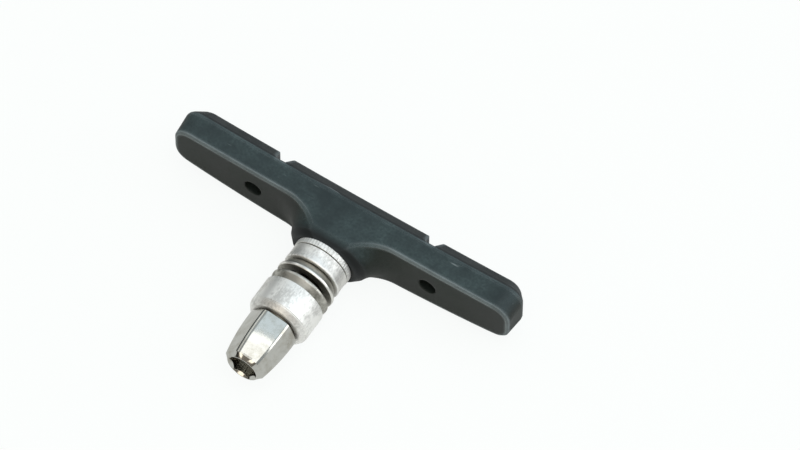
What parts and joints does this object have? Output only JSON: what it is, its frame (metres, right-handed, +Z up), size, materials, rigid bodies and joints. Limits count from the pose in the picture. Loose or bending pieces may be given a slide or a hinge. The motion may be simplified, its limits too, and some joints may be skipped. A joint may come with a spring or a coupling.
{
  "type": "bicycle rim brake pad",
  "caption": "Linear-pull bicycle rim brake pad: curved rubber block with grooved, bevelled braking face, flared boss, threaded post, domed and cupped washers and a tapered cap nut.",
  "frame": {"origin": "middle of the braking face, on the axis of the post", "axes": "+X along the pad, +Y out of the braking face, the post runs towards -Y, +Z up as it lies on its side"},
  "size_m": [0.072, 0.0392, 0.0129],
  "materials": {
    "rubber": "matt moulded",
    "strip_steel": "plain",
    "stud_steel": "zinc plated",
    "cup_aluminium": "satin",
    "dome_steel": "plated",
    "nut_plate": "nickel plated"
  },
  "bodies": {
    "pad": {"pad_block": "rubber", "backing_plate": "strip_steel", "threaded_stud": "stud_steel", "inner_cup_washer": "cup_aluminium"},
    "inner_dome": {"inner_dome_washer": "dome_steel"},
    "outer_cup": {"outer_cup_washer": "cup_aluminium"},
    "outer_dome": {"outer_dome_washer": "dome_steel"},
    "nut": {"cap_nut": "nut_plate"}
  },
  "joints": [
    {"name": "inner_swivel", "type": "hinge", "parent": "pad", "child": "inner_dome", "pos_m": [0, -0.0233, 0], "axis": [0, 0, 1], "range_deg": [-6, 6]},
    {"name": "washer_slide", "type": "slide", "parent": "pad", "child": "outer_cup", "axis": [0, -1, 0], "range_m": [-0.0012, 0.0036]},
    {"name": "outer_swivel", "type": "hinge", "parent": "outer_cup", "child": "outer_dome", "pos_m": [0, -0.01594, 0], "axis": [0, 0, 1], "range_deg": [-6, 6]},
    {"name": "nut_turn", "type": "hinge", "parent": "outer_cup", "child": "nut", "pos_m": [0, -0.02859, 0], "axis": [0, -1, 0], "range_deg": [-432, 1296]}
  ],
  "couplings": [
    {"joint": "nut_turn", "follows": "washer_slide", "rad_per_m": 6283.2},
    {"joint": "outer_swivel", "follows": "inner_swivel", "ratio": 1}
  ]
}
